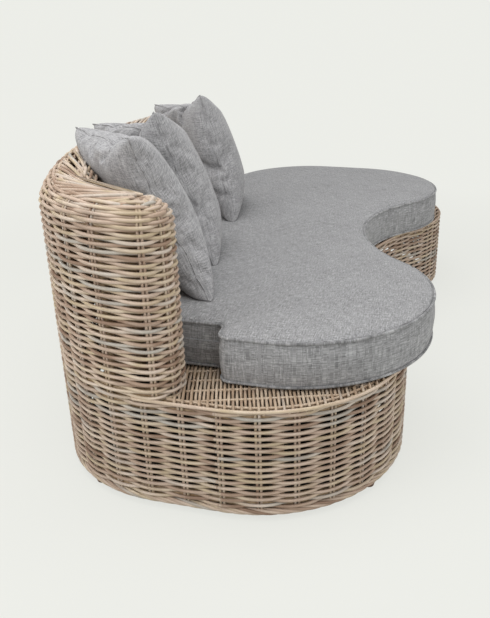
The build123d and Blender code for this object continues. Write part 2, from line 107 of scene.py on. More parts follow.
sofa = {
    "length": 2.2, "depth": 1.14, "hollowRadius": 0.848,
    "lobeRadius": 0.39216, "cornerRadius": 0.37392, "cornerDepth": 0.57456,
    "crestHeight": 0.715, "backThickness": 0.15, "openEnd": 0.375,
}


class Kidney:
    # two lobes with a hollow between them, and a bowed rear between two corners
    def __init__(self, lobes, lobeRadius, hollowRadius, corners, cornerRadii, rear, rearRadius):
        self.near, self.far = lobes
        self.lobeRadius, self.hollowRadius = lobeRadius, hollowRadius
        self.nearCorner, self.farCorner = corners
        self.nearRadius, self.farRadius = cornerRadii
        self.rear, self.rearRadius = rear, rearRadius
        self.nearBearing = bearingOf(rear, self.nearCorner)
        self.farBearing = bearingOf(rear, self.farCorner)

    def front(self):
        # from the near side round both lobes to the far side
        halfSpan = (self.far - self.near) / 2
        rise = sqrt((self.hollowRadius + self.lobeRadius) ** 2 - halfSpan.length_squared)
        hollow = self.near + halfSpan + Vector((halfSpan.y, -halfSpan.x)).normalized() * rise
        nearTurn, farTurn = bearingOf(self.near, hollow), bearingOf(self.far, hollow)
        trail = Trail()
        trail.arc(self.near, self.lobeRadius, 180, 180 + nearTurn)
        trail.arc(hollow, self.hollowRadius, 180 + nearTurn, farTurn - nearTurn)
        trail.arc(self.far, self.lobeRadius, farTurn, -farTurn)
        return trail.line(away(self.far, self.lobeRadius, 0), away(self.farCorner, self.farRadius, 0))


def rearCentre(corner, radius, rearPoint):
    reach = rearPoint - radius
    return (corner.x**2 + corner.y**2 - reach**2) / (2 * corner.y - 2 * reach)


lobeX = sofa["length"] / 2 - sofa["lobeRadius"]
cornerX = sofa["length"] / 2 - sofa["cornerRadius"]
rearDepth = rearCentre(Vector((cornerX, sofa["cornerDepth"])), sofa["cornerRadius"], sofa["depth"])
kidney = Kidney(
    (spot(-lobeX, sofa["lobeRadius"]), spot(lobeX, sofa["lobeRadius"])),
    sofa["lobeRadius"], sofa["hollowRadius"],
    (spot(-cornerX, sofa["cornerDepth"]), spot(cornerX, sofa["cornerDepth"])),
    (sofa["cornerRadius"], sofa["cornerRadius"]), spot(0, rearDepth), sofa["depth"] - rearDepth,
)

baseTrail = kidney.front()
baseTrail.arc(kidney.farCorner, kidney.farRadius, 0, kidney.farBearing)
baseTrail.arc(kidney.rear, kidney.rearRadius, kidney.farBearing, kidney.nearBearing - kidney.farBearing)
baseTrail.arc(kidney.nearCorner, kidney.nearRadius, kidney.nearBearing, 180 - kidney.nearBearing)
baseTrail.line(away(kidney.nearCorner, kidney.nearRadius, 180), away(kidney.near, kidney.lobeRadius, 180))

crestRadius = sofa["backThickness"] / 2
openBearing = degrees(acos(sofa["openEnd"] / (kidney.rearRadius - crestRadius)))
nearNose = away(kidney.nearCorner, kidney.nearRadius - crestRadius, 180)
farNose = away(kidney.rear, kidney.rearRadius - crestRadius, openBearing)


def backTrail(inset):
    # the closed line round the back at one depth below its skin: outer side, near nose, inner side, far nose
    trail = Trail()
    inner = sofa["backThickness"] - inset
    sweep = kidney.nearBearing - openBearing
    trail.arc(kidney.rear, kidney.rearRadius - inset, openBearing, sweep)
    trail.arc(kidney.nearCorner, kidney.nearRadius - inset, kidney.nearBearing, 180 - kidney.nearBearing)
    trail.arc(nearNose, crestRadius - inset, 180, 180)
    trail.arc(kidney.nearCorner, kidney.nearRadius - inner, 180, kidney.nearBearing - 180)
    trail.arc(kidney.rear, kidney.rearRadius - inner, kidney.nearBearing, -sweep)
    trail.arc(farNose, crestRadius - inset, openBearing - 180, 180)
    return trail


# ---- pieces


def linked(name, data):
    piece = bpy.data.objects.new(name, data)
    scene.collection.objects.link(piece)
    return piece


def pieceFrom(work, name):
    # a piece with the mesh that a bmesh holds
    mesh = bpy.data.meshes.new(name)
    work.to_mesh(mesh)
    work.free()
    return linked(name, mesh)


def nearestOn(points, line):
    # for each point, which point of a line lies nearest to it, seen from above
    found = []
    for start in range(0, len(points), 400):
        gap = line[None] - points[start:start + 400, None, :2]
        found.append(np.argmin((gap**2).sum(2), axis=1))
    return np.concatenate(found)


def setVectors(mesh, name, domain, values):
    mesh.attributes.new(name, "FLOAT_VECTOR", domain).data.foreach_set("vector", values.ravel())


def readOut(items, name, width=1, kind=float):
    found = np.empty(len(items) * width, dtype=kind)
    items.foreach_get(name, found)
    return found.reshape(-1, width) if width > 1 else found


def wanderOf(points, rate, reach, lane):
    # a slow drift to either side along a line seen from above
    return np.array([noise.noise((x * rate, y * rate, lane)) for x, y in points]) * reach


# ---- strands: every piece of wicker is laid as round strands along its own path

strandNoise = {"lanes": 40, "runs": 20, "swell": 0.1, "rate": 9, "row": 3.7}


def layStrands(name, paths, radius, closed=True, sides=6, seed=0, upright=False):
    # paths: lists of points, each an (n, 3) array; a strand's thickness swells a little along its way
    curve = bpy.data.curves.new(name, "CURVE")
    curve.dimensions = "3D"
    curve.bevel_depth = 1.0
    curve.bevel_resolution = (sides - 4) // 2
    curve.twist_mode = "MINIMUM" if upright else "Z_UP"
    dice = random.Random(seed)
    facts = []
    for path in paths:
        spline = curve.splines.new("POLY")
        spline.points.add(len(path) - 1)
        spline.points.foreach_set("co", np.c_[path, np.ones(len(path))].ravel())
        spline.use_cyclic_u = closed
        steps = np.r_[0, np.cumsum(np.linalg.norm(np.diff(path, axis=0), axis=1))]
        lane = dice.random() * strandNoise["lanes"]
        rate, row = strandNoise["rate"], strandNoise["row"]
        swell = [1 + strandNoise["swell"] * noise.noise((step * rate, lane, row)) for step in steps]
        spline.points.foreach_set("radius", radius * np.array(swell))
        facts.append((steps + dice.random() * strandNoise["runs"], lane))
    holder = linked(name + "Line", curve)
    bpy.context.view_layer.update()
    mesh = bpy.data.meshes.new_from_object(holder)
    bpy.data.objects.remove(holder)
    bpy.data.curves.remove(curve)
    around = np.sin(np.arange(sides) * 2 * pi / sides) * 0.5
    strand = np.concatenate([
        np.c_[np.repeat(steps, sides), np.full(len(steps) * sides, lane), np.tile(around, len(steps))]
        for steps, lane in facts
    ])
    setVectors(mesh, "strand", "POINT", strand)
    if not closed:
        work = bmesh.new()
        work.from_mesh(mesh)
        bmesh.ops.holes_fill(work, edges=work.edges, sides=sides)
        work.to_mesh(mesh)
        work.free()
    mesh.shade_smooth()
    return linked(name, mesh)


def dress(piece, finish, body, slot, *nodes):
    piece.data.materials.clear()
    piece.data.materials.append(finish)
    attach(piece, body)
    if nodes:
        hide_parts(*nodes)
    return piece


def weave(name, paths, radius, finish, seed, *nodes, slot="wicker", **style):
    # strands of the woven frame, which stays still
    return dress(layStrands(name, paths, radius, seed=seed, **style), finish, "root", slot, *nodes)


# ---- finishes


class Signal:
    # a shader value whose maths is written as Python
    def __init__(self, shading, socket):
        self.shading, self.socket = shading, socket

    def math(self, operation, first, second):
        return self.shading.node("ShaderNodeMath", {"operation": operation}, {0: first, 1: second})

    def __add__(self, other):
        return self.math("ADD", self, other)

    def __radd__(self, other):
        return self.math("ADD", other, self)

    def __mul__(self, other):
        return self.math("MULTIPLY", self, other)

    def __rmul__(self, other):
        return self.math("MULTIPLY", other, self)


class Shading:
    # a node tree and the ways to add to it
    def __init__(self, tree):
        self.tree = tree

    def node(self, kind, settings=None, sockets=None, output=0):
        # settings are set first, then the values or links of the sockets
        made = self.tree.nodes.new(kind)
        for key, value in (settings or {}).items():
            if key == "stops":
                ramp = made.color_ramp.elements
                while len(ramp) < len(value):
                    ramp.new(0.5)
                for element, (position, colour) in zip(ramp, value):
                    element.position = position
                    element.color = (*colour, 1)
            else:
                setattr(made, key, value)
        for key, value in (sockets or {}).items():
            self.plug(value, made.inputs[key])
        return Signal(self, made.outputs[output])

    def plug(self, value, socket):
        if isinstance(value, Signal):
            self.tree.links.new(value.socket, socket)
        else:
            socket.default_value = value

    def blendInto(self, target, factor, first, second):
        # two shaders mixed into the surface of an output node
        blend = self.node("ShaderNodeMixShader", None, {0: factor, 1: first, 2: second})
        self.plug(blend, self.tree.nodes[target].inputs["Surface"])


class Finish(Shading):
    def __init__(self, name, roughness, **constants):
        self.material = bpy.data.materials.new(name)
        self.material.use_nodes = True
        super().__init__(self.material.node_tree)
        self.shader = self.tree.nodes["Principled BSDF"]
        self.shader.inputs["Roughness"].default_value = roughness
        for socket, value in constants.items():
            self.shader.inputs[socket.replace("_", " ")].default_value = value

    def set(self, socket, value):
        self.plug(value, self.shader.inputs[socket])

    def objectPlace(self):
        return self.node("ShaderNodeTexCoord", output=3)

    def attribute(self, name):
        return self.node("ShaderNodeAttribute", {"attribute_name": name}, output=1)

    def cloud(self, vector, scale, detail, roughness):
        sockets = {"Vector": vector, "Scale": scale, "Detail": detail, "Roughness": roughness}
        return self.node("ShaderNodeTexNoise", None, sockets)

    def layer(self, vector, name):
        stretch, shift, detail, roughness = layers[name]
        sockets = {"Vector": vector, "Scale": stretch, "Location": shift}
        return self.cloud(self.node("ShaderNodeMapping", None, sockets), 1.0, detail, roughness)

    def ramp(self, factor, *tones):
        # tones are (position, colour) pairs
        return self.node("ShaderNodeValToRGB", {"stops": tones}, {0: factor})

    def mix(self, factor, first, second):
        sockets = {0: factor, 6: first, 7: second}
        return self.node("ShaderNodeMix", {"data_type": "RGBA"}, sockets, output=2)

    def spread(self, value, low, high, newLow=0.0, newHigh=1.0):
        sockets = {"Value": value, "From Min": low, "From Max": high, "To Min": newLow, "To Max": newHigh}
        return self.node("ShaderNodeMapRange", {"clamp": True}, sockets)

    def complete(self, colour, height, strength, distance):
        # the colour and the small relief, and the material that comes of it
        sockets = {"Strength": strength, "Distance": distance, "Height": height}
        self.set("Base Color", colour)
        self.set("Normal", self.node("ShaderNodeBump", None, sockets))
        return self.material


# each layer of noise: how it is stretched and shifted, its detail and its roughness
layers = {
    "tone": ((2.2, 1.0, 0.25), (0, 0, 0), 2.0, 0.55),
    "fibre": ((26.0, 3.0, 9.0), (0, 0, 0), 3.0, 0.6),
    "worn": ((11.0, 5.0, 2.2), (5, 2, 1), 2.0, 0.5),
    "stain": ((5.0, 7.0, 0.4), (2, 9, 4), 3.0, 0.65),
    "across": ((38.0, 520.0, 11.0), (0, 0, 0), 2.0, 0.6),
    "down": ((520.0, 38.0, 7.0), (3, 8, 2), 2.0, 0.6),
    "drift": ((9.0, 9.0, 9.0), (0, 0, 0), 3.0, 0.5),
    "fleck": ((170.0, 240.0, 60.0), (1, 1, 4), 1.0, 0.5),
    "streak": ((55.0, 55.0, 9.0), (0, 0, 0), 4.0, 0.6),
    "ring": ((3.0, 3.0, 14.0), (4, 1, 2), 2.0, 0.5),
}


def wickerFinish(name, tones, darkening):
    # split rattan: each strand has its own tone, which drifts along it, with fibres, worn places and stains
    finish = Finish(name, 0.62)
    strand = finish.attribute("strand")
    parts = {key: finish.layer(strand, key) for key in ("tone", "fibre", "worn", "stain")}
    colour = finish.ramp(finish.spread(parts["tone"], 0.35, 0.65), *tones)
    for key, low, high, most, tint in (
        ("fibre", 0.35, 0.72, 0.34, (0.20, 0.14, 0.09, 1)),
        ("worn", 0.5, 0.8, 0.45, (0.74, 0.64, 0.53, 1)),
        ("stain", 0.62, 0.78, darkening, (0.17, 0.12, 0.09, 1)),
    ):
        colour = finish.mix(finish.spread(parts[key], low, high, 0.0, most), colour, tint)
    finish.set("Roughness", finish.spread(parts["fibre"], 0.3, 0.7, 0.5, 0.75))
    return finish.complete(colour, parts["fibre"], 0.35, 0.0006)


def linenFinish(name, dark, mid, light):
    # heathered linen: slubby threads both ways over a mid grey, read from the cloth's own metres
    finish = Finish(name, 0.95, Sheen_Weight=0.12, Sheen_Roughness=0.5, Specular_IOR_Level=0.25)
    cloth = finish.attribute("cloth")
    threads = (finish.layer(cloth, "across") + finish.layer(cloth, "down")) * 0.5
    tone = finish.spread(threads * 0.78 + finish.layer(cloth, "fleck") * 0.22, 0.36, 0.64)
    worn = finish.spread(finish.layer(cloth, "drift"), 0.3, 0.7, 0.0, 0.14)
    colour = finish.mix(worn, finish.ramp(tone, (0.0, dark), (0.5, mid), (1.0, light)), (*light, 1))
    return finish.complete(colour, threads, 0.3, 0.0012)


def poleFinish(name, dark, light, roughness):
    # a peeled pole: long streaks and faint rings where its joints were
    finish = Finish(name, roughness)
    place = finish.objectPlace()
    streak = finish.layer(place, "streak")
    tone = finish.spread(streak * 0.7 + finish.layer(place, "ring") * 0.3, 0.35, 0.65)
    return finish.complete(finish.ramp(tone, (0.0, dark), (1.0, light)), streak, 0.25, 0.0008)


def plainFinish(name, dark, light, roughness, scale, metallic=0.0):
    # a small or hidden part: its own colour with fine variation and a little texture
    finish = Finish(name, roughness, Metallic=metallic)
    grain = finish.cloud(finish.objectPlace(), scale, 3.0, 0.55)
    colour = finish.ramp(finish.spread(grain, 0.3, 0.7), (0.0, dark), (1.0, light))
    return finish.complete(colour, grain, 0.3, 0.0004)


wallTones = [
    (0.0, (0.27, 0.17, 0.115)), (0.22, (0.42, 0.30, 0.22)), (0.45, (0.55, 0.43, 0.34)),
    (0.62, (0.50, 0.40, 0.26)), (0.8, (0.62, 0.51, 0.42)), (1.0, (0.43, 0.40, 0.35)),
]
wicker = wickerFinish("weatheredWicker", wallTones, 0.55)
# the base and its braid are the walls' rattan made darker: painted shade on the lower part
basePaintedShade = 0.87
baseShadedTones = [(place, tuple(basePaintedShade * c for c in tone)) for place, tone in wallTones]
baseWickerPaintedShade = wickerFinish("baseWickerPaintedShade", baseShadedTones, 0.6)
deckTones = [
    (0.0, (0.26, 0.18, 0.12)), (0.3, (0.43, 0.31, 0.21)),
    (0.6, (0.52, 0.41, 0.30)), (1.0, (0.40, 0.33, 0.27)),
]
deckWicker = wickerFinish("seatWicker", deckTones, 0.55)
cushionLinen = linenFinish("cushionLinen", (0.10, 0.10, 0.102), (0.24, 0.24, 0.243), (0.43, 0.43, 0.433))
pillowLinen = linenFinish("pillowLinen", (0.14, 0.138, 0.141), (0.30, 0.297, 0.302), (0.50, 0.497, 0.502))
# the piping is the cushion's cloth made a little darker: painted shade along the seams
pipingLinenPaintedShade = linenFinish("pipingLinenPaintedShade", (0.09, 0.09, 0.091), (0.215, 0.215, 0.217), (0.40, 0.40, 0.402))
cadFinishes = {
    "rattan_pole": poleFinish("rattanPole", (0.30, 0.19, 0.10), (0.55, 0.41, 0.26), 0.5),
    "foot": poleFinish("darkFoot", (0.10, 0.055, 0.035), (0.24, 0.13, 0.085), 0.45),
    "screw": plainFinish("zincScrew", (0.42, 0.42, 0.42), (0.6, 0.6, 0.6), 0.35, 300.0, 1.0),
    "zip": plainFinish("nylonZip", (0.05, 0.05, 0.052), (0.09, 0.09, 0.092), 0.55, 900.0),
}
for subpart in frame["record"]["subparts"]:
    if subpart["material_slot"] in cadFinishes:
        for holder in frame["nodes"][subpart["node"]].material_slots:
            holder.material = cadFinishes[subpart["material_slot"]]
print("finishes made")


# ---- walls: plain weave round pairs of upright stakes

wall = {
    "strand": 0.0044, "middle": 0.0098, "weave": 0.0054, "step": 0.0115,
    "stake": 0.0033, "stakeGap": 0.0094, "stakePitch": 0.095, "nosePitch": 0.062,
    "low": 0.0333, "seam": 0.2977, "rows": 31, "backRows": 49,
    "hold": 0.75, "lanes": 50, "wander": 0.0013, "wanderRate": 6, "bob": 0.0007, "endGap": 0.02,
    "stakeHeights": (0.02, 0.3035, 0.028), "backHeights": (0.30, 0.719, 0.0297),
}
rowPitch = (wall["seam"] - wall["low"]) / wall["rows"]


def weaveWave(turns):
    # which side of the stakes a strand is on, held flat where it passes a pair
    wave = np.cos(pi * turns)
    return np.sign(wave) * np.abs(wave) ** wall["hold"]


def rowPath(points, outward, turns, row, height, dice):
    # one strand of a wall: in and out between the stakes, with a little wander up and down
    side = weaveWave(turns + row)
    wander = wanderOf(points, wall["wanderRate"], wall["wander"], dice.random() * wall["lanes"])
    flat = points - outward * (wall["middle"] - wall["weave"] * side)[:, None]
    return np.c_[flat, height + wander - wall["bob"] * side]


baseLength = baseTrail.length()
baseStakes = 2 * round(baseLength / wall["stakePitch"] / 2)
basePitch = baseLength / baseStakes
baseSteps, basePoints, baseOutward = baseTrail.sample(round(baseLength / wall["step"]))
baseTurns = baseSteps / basePitch

dice = random.Random(11)
baseRows = [
    rowPath(basePoints, baseOutward, baseTurns, row, wall["low"] + (row + 0.5) * rowPitch, dice)
    for row in range(wall["rows"])
]
lowCount = (wall["rows"] + 1) // 2
weave("baseWeaveLow", baseRows[:lowCount], wall["strand"], baseWickerPaintedShade, 21, "base_weave")
weave("baseWeaveHigh", baseRows[lowCount:], wall["strand"], baseWickerPaintedShade, 22)


def paired(places):
    # stakes stand two by two
    return [place + side * wall["stakeGap"] for place in places for side in (-0.5, 0.5)]


def stakePaths(trail, places, heights):
    paths = []
    for place in paired(places):
        point, outward = trail.at(place % trail.length())
        foot = point - outward * wall["middle"]
        paths.append(np.array([(foot.x, foot.y, height) for height in heights]))
    return paths


stakeStyle = {"closed": False, "upright": True}
stakePlaces = [basePitch * k for k in range(baseStakes)]
baseStakePaths = stakePaths(baseTrail, stakePlaces, np.arange(*wall["stakeHeights"]))
weave("baseStakes", baseStakePaths, wall["stake"], baseWickerPaintedShade, 23, **stakeStyle)
print("base walls woven:", baseStakes, "pairs of stakes,", wall["rows"], "rows")


# ---- the back: the same weave carried on round a rounded wall

backOuter = backTrail(0.0)
outerLength = backOuter.length(0, 2)
noseLength = pi * crestRadius
innerLength = backOuter.length(3, 5)
backStart = baseTrail.length(0, 5) + kidney.rearRadius * radians(openBearing - kidney.farBearing)

# stakes of the outer wall stand over the base's; those of the noses and the inner wall are spaced afresh
backPlaces = [
    place - backStart for place in stakePlaces
    if wall["endGap"] < place - backStart < outerLength - wall["endGap"]
]
noseCount = max(2, round(noseLength / wall["nosePitch"]))
innerCount = round(innerLength / wall["stakePitch"])
innerCount += (len(backPlaces) + innerCount) % 2
start = outerLength
for length, count in ((noseLength, noseCount), (innerLength, innerCount), (noseLength, noseCount)):
    backPlaces += [start + length * (k + 0.5) / count for k in range(count)]
    start += length
backLength = backOuter.length()
backMarks = backOuter.marks()


def turnsAt(steps):
    # how many of the back's stakes have been passed, counted smoothly
    known = [backPlaces[-1] - backLength] + backPlaces + [backPlaces[0] + backLength]
    return np.interp(steps, known, np.arange(-1, len(backPlaces) + 1))


backSteps, backPoints, backOutward = backOuter.sample(round(backLength / wall["step"]))
backTurns = turnsAt(backSteps)
dice = random.Random(12)
backRows = []
for row in range(wall["backRows"]):
    height = wall["seam"] + (row + 0.5) * rowPitch
    if height < sofa["crestHeight"]:
        backRows.append(rowPath(backPoints, backOutward, backTurns, row + wall["rows"], height, dice))
half = len(backRows) // 2
sides, ends = ("back_weave_outer", "back_weave_inner"), ("back_weave_near_end", "back_weave_far_end")
weave("backWeaveLow", backRows[:half], wall["strand"], wicker, 31, *sides)
weave("backWeaveHigh", backRows[half:], wall["strand"], wicker, 32, *ends)
backStakePaths = stakePaths(backOuter, backPlaces, np.arange(*wall["backHeights"]))
weave("backStakes", backStakePaths, wall["stake"], wicker, 33, **stakeStyle)
print("back woven:", len(backPlaces), "pairs of stakes,", len(backRows), "rows")


# ---- the crest: rows that close in towards the middle line, and a slanting border on top

crest = {
    "rowsUp": 84.0, "rise": 0.8, "stakesUp": 80, "stakeStep": 9.0, "strand": 0.0043,
    "borderFrom": 64.0, "borderOver": 8, "sink": 0.006, "borderStep": 0.040, "borderRun": 0.30,
    "borderPoints": 26, "overEnds": 0.045, "cutOff": 0.05, "lie": (-0.0008, 0.0012), "lean": (-5, 5),
    "tuck": 0.006,
}
crestRows = []
dice = random.Random(13)
# the section is a little flatter than a half circle: its angles are spaced so that the rows lie evenly
sectionAngles = np.radians(np.linspace(0, crest["rowsUp"], 200))
sectionSteps = np.hypot(np.sin(sectionAngles), np.cos(sectionAngles) * crest["rise"]) * crestRadius
sectionReach = np.r_[0, np.cumsum(sectionSteps[1:] * np.diff(sectionAngles))]
for row in range(int(sectionReach[-1] / rowPitch)):
    angle = float(np.interp((row + 0.5) * rowPitch, sectionReach, sectionAngles))
    inset = crestRadius * (1 - cos(angle))
    trail = backTrail(inset)
    steps, points, outward = trail.sample(round(trail.length() / wall["step"]))
    turns = turnsAt(np.interp(steps, trail.marks(), backMarks))
    side = wall["middle"] - wall["weave"] * weaveWave(turns + row + len(backRows) + wall["rows"])
    if degrees(angle) > crest["borderFrom"]:
        side = side + crest["sink"]
    flat = points - outward * (side * cos(angle))[:, None]
    height = sofa["crestHeight"] + (crestRadius - side) * sin(angle) * crest["rise"]
    crestRows.append(np.c_[flat, height])
weave("crestWeave", crestRows, wall["strand"], wicker, 41, "back_weave_crest")

crestStakePaths = []
stakeRadius = crestRadius - wall["middle"]
for place in paired(backPlaces):
    path = []
    for angle in np.radians(np.arange(0, crest["stakesUp"], crest["stakeStep"])):
        trail = backTrail(crestRadius - stakeRadius * cos(angle))
        point, outward = trail.at(np.interp(place % backLength, backMarks, trail.marks()))
        path.append((point.x, point.y, sofa["crestHeight"] + stakeRadius * sin(angle) * crest["rise"]))
    crestStakePaths.append(np.array(path))
weave("crestStakes", crestStakePaths, wall["stake"], wicker, 42, **stakeStyle)


def ridgePoint(along, angle, depth):
    # over the crest's top: distance along the middle line from the far nose, and angle over the section
    onLine = min(max(along, 0.0), ridgeLength)
    past = along - onLine
    point, outward = ridge.at(onLine)
    radius = crestRadius - depth
    flat = point + outward * radius * cos(radians(angle)) + Vector((-outward.y, outward.x)) * past
    shrink = sqrt(max(0.0, 1 - (past / crestRadius) ** 2))
    return flat.x, flat.y, sofa["crestHeight"] + radius * sin(radians(angle)) * shrink * crest["rise"]


ridge = Trail()
ridge.arc(kidney.rear, kidney.rearRadius - crestRadius, openBearing, kidney.nearBearing - openBearing)
ridge.arc(kidney.nearCorner, kidney.nearRadius - crestRadius, kidney.nearBearing, 180 - kidney.nearBearing)
ridgeLength = ridge.length()
borderPaths = []
borderTurn = 180 + 2 * crest["borderOver"] - 2 * crest["borderFrom"]
start = -crest["overEnds"] - crest["borderRun"]
while start < ridgeLength + crest["overEnds"]:
    path = []
    lie = dice.uniform(*crest["lie"])
    lean = dice.uniform(*crest["lean"])
    for share in np.linspace(0, 1, crest["borderPoints"]):
        along = start + share * crest["borderRun"]
        if -crest["cutOff"] <= along <= ridgeLength + crest["cutOff"]:
            angle = crest["borderFrom"] - crest["borderOver"] + borderTurn * share + lean * sin(pi * share)
            depth = crest["strand"] + lie + crest["tuck"] * abs(2 * share - 1) ** 3
            path.append(ridgePoint(along, angle, depth))
    if len(path) > 3:
        borderPaths.append(np.array(path))
    start += crest["borderStep"]
weave("crestBorder", borderPaths, crest["strand"], wicker, 43, closed=False)
print("crest made:", len(crestRows), "rows and", len(borderPaths), "border strands")


# ---- the braid along the floor and the strand round the seat's edge

braid = {
    "strands": 5, "radius": 0.0042, "turn": 0.0052, "pitch": 0.19, "height": 0.0243, "inset": 0.0095,
    "step": 0.011,
}


def braidPath(strand):
    steps, points, outward = baseTrail.sample(round(baseLength / braid["step"]))
    turns = round(baseLength / braid["pitch"])
    angle = 2 * pi * (turns * steps / baseLength + strand / braid["strands"])
    inset = braid["inset"] + braid["turn"] * np.cos(angle)
    return np.c_[points - outward * inset[:, None], braid["height"] + braid["turn"] * np.sin(angle)]


braidPaths = [braidPath(k) for k in range(braid["strands"])]
weave("bottomBraid", braidPaths, braid["radius"], baseWickerPaintedShade, 51, "bottom_braid")

rim = {
    "radius": 0.0043, "inset": 0.0043, "height": 0.3035, "tuck": 0.03, "step": 0.012,
    "rate": 5, "wander": 0.0012, "lane": 8.1,
}
rimStart = backStart + outerLength - rim["tuck"]
rimEnd = baseLength + (backStart + rim["tuck"])
rimFound = [baseTrail.at(step) for step in np.arange(rimStart, rimEnd, rim["step"]) % baseLength]
rimFlat = np.array([p - n * rim["inset"] for p, n in rimFound])
rimPath = np.c_[rimFlat, rim["height"] + wanderOf(rimFlat, rim["rate"], rim["wander"], rim["lane"])]
weave("rimStrand", [rimPath], rim["radius"], wicker, 52, "rim_strand", closed=False)


# ---- the woven seat: strands that follow the sofa's curve, over and under runners across it

deck = {
    "bend": 3.3, "pitch": 0.0097, "height": 0.3036, "weave": 0.0025, "strand": 0.0036, "step": 0.0105,
    "edge": 0.024, "edgeBlend": 0.02, "middleDepth": 0.66, "halfLength": 1.14, "depth": 1.16, "shift": 0.03,
    "dip": 0.0065, "fallFrom": 0.0105, "fallRun": 0.007, "fall": 0.006, "clear": 0.0035, "under": 0.008,
}
runner = {
    "pitch": 0.05, "halfLength": 1.1, "forward": 0.7, "back": 0.6, "step": 0.02, "sink": 0.0004,
    "edgeSink": 0.0002, "clear": 0.014, "under": 0.01,
}
seatEdge = baseTrail.sample(1400)[1:]
backBand = backOuter.sample(1000)[1:]
deckCentre = spot(0, deck["middleDepth"] - deck["bend"])


def insideOf(points, edge, outward):
    # how far each point lies inside a closed line; negative outside
    nearest = nearestOn(points, edge)
    return ((edge[nearest] - points) * outward[nearest]).sum(1)


def keptRuns(flat, height, keep):
    # the unbroken runs of a path
    path = np.c_[flat, np.broadcast_to(height, len(flat))]
    edges = np.flatnonzero(np.diff(np.r_[0, keep.astype(int), 0]))
    return [path[a:b] for a, b in zip(edges[::2], edges[1::2]) if b - a > 3]


def deckPoints(radius, angle):
    return np.c_[deckCentre.x + radius * np.sin(angle), deckCentre.y + radius * np.cos(angle)]


def deckCourse(radius, index):
    reach = asin(min(1.0, deck["halfLength"] / radius))
    angles = np.arange(-reach, reach, deck["step"] / radius)
    flat = deckPoints(radius, angles)
    inset = insideOf(flat, *seatEdge)
    across = weaveWave(angles * deck["bend"] / runner["pitch"] + index) * deck["weave"]
    overEdge = deck["weave"] if index % 2 else -deck["dip"]
    nearEdge = np.exp(-(((inset - deck["edge"]) / deck["edgeBlend"]) ** 2))
    rise = across * (1 - nearEdge) + overEdge * nearEdge
    fall = np.clip((deck["fallFrom"] - inset) / deck["fallRun"], 0, 1)
    height = deck["height"] + rise * (1 - fall) - deck["fall"] * fall**2
    return keptRuns(flat, height, (inset > deck["clear"]) & (insideOf(flat, *backBand) < deck["under"]))


strandCount = int(deck["depth"] / deck["pitch"])
deckPaths = []
for index in range(strandCount):
    offset = (index - strandCount / 2) * deck["pitch"]
    deckPaths += deckCourse(deck["bend"] + offset - deck["shift"], index)
halfDeck = len(deckPaths) // 2
deckStyle = {"slot": "deck_wicker", "closed": False}
weave("seatWeaveFront", deckPaths[:halfDeck], deck["strand"], deckWicker, 61, "seat_deck_weave", **deckStyle)
weave("seatWeaveRear", deckPaths[halfDeck:], deck["strand"], deckWicker, 62, **deckStyle)

runnerPaths = []
reach = int(runner["halfLength"] / runner["pitch"])
radii = np.arange(deck["bend"] - runner["forward"], deck["bend"] + runner["back"], runner["step"])
for index in range(-reach, reach + 1):
    flat = deckPoints(radii, index * runner["pitch"] / deck["bend"])
    keep = (insideOf(flat, *seatEdge) > runner["clear"]) & (insideOf(flat, *backBand) < runner["under"])
    runnerPaths += keptRuns(flat, deck["height"] - runner["sink"], keep)
edgeRunner = seatEdge[0][::6] - seatEdge[1][::6] * deck["edge"]
free = insideOf(edgeRunner, *backBand) < runner["under"]
shift = -int(np.argmin(free))
edgeRunner, free = np.roll(edgeRunner, shift, axis=0), np.roll(free, shift)
runnerPaths += keptRuns(edgeRunner, deck["height"] - runner["edgeSink"], free)
weave("seatRunners", runnerPaths, deck["strand"], deckWicker, 63, **deckStyle)
print("seat woven:", len(deckPaths), "strands and", len(runnerPaths), "runners")


# ---- the seat cushion

cushion = {
    "lobeInset": 0.022, "endGap": 0.116, "overhang": 0.053, "farSetback": 0.025, "hollowRadius": 0.52,
    "farCorner": 0.36, "nearCorner": 0.187, "sideGap": 0.037, "rearGap": 0.06, "stepGap": 0.07,
    "stepInner": 0.025, "stepOuter": 0.03, "floor": 0.3103, "side": 0.125, "crown": 0.0125, "crownRun": 0.045,
    "clear": 0.0006, "voxel": 0.0075, "shoulder": 0.012, "waves": ((4.5, 0.0022, 1.3), (13, 0.0007, 4.4)),
    "waveRun": 0.06, "sideRun": 0.02, "belly": 0.006, "draw": 0.002, "ripple": 0.0022,
}
lobe = sofa["lobeRadius"] - cushion["lobeInset"]
edgeX = cushion["endGap"] - sofa["length"] / 2
rearLine = sofa["depth"] - sofa["backThickness"] - cushion["rearGap"]
sideX = sofa["backThickness"] + cushion["sideGap"] - sofa["length"] / 2
softCornerX = sideX + cushion["nearCorner"]
softRear = rearCentre(Vector((softCornerX, sofa["cornerDepth"])), cushion["nearCorner"], rearLine)
softRadius = rearLine - softRear
softCornerDepth = softRear + sqrt((softRadius - cushion["nearCorner"]) ** 2 - softCornerX**2)
soft = Kidney(
    (spot(edgeX + lobe, lobe - cushion["overhang"]), spot(-edgeX - lobe, lobe + cushion["farSetback"])),
    lobe, cushion["hollowRadius"],
    (
        spot(softCornerX, softCornerDepth),
        spot(-edgeX - cushion["farCorner"], rearLine - cushion["farCorner"]),
    ),
    (cushion["nearCorner"], cushion["farCorner"]), spot(0, softRear), softRadius,
)
stepLine = nearNose.y - crestRadius - cushion["stepGap"]
stepIn = Vector((sideX - cushion["stepInner"], stepLine + cushion["stepInner"]))
stepOut = Vector((edgeX + cushion["stepOuter"], stepLine - cushion["stepOuter"]))

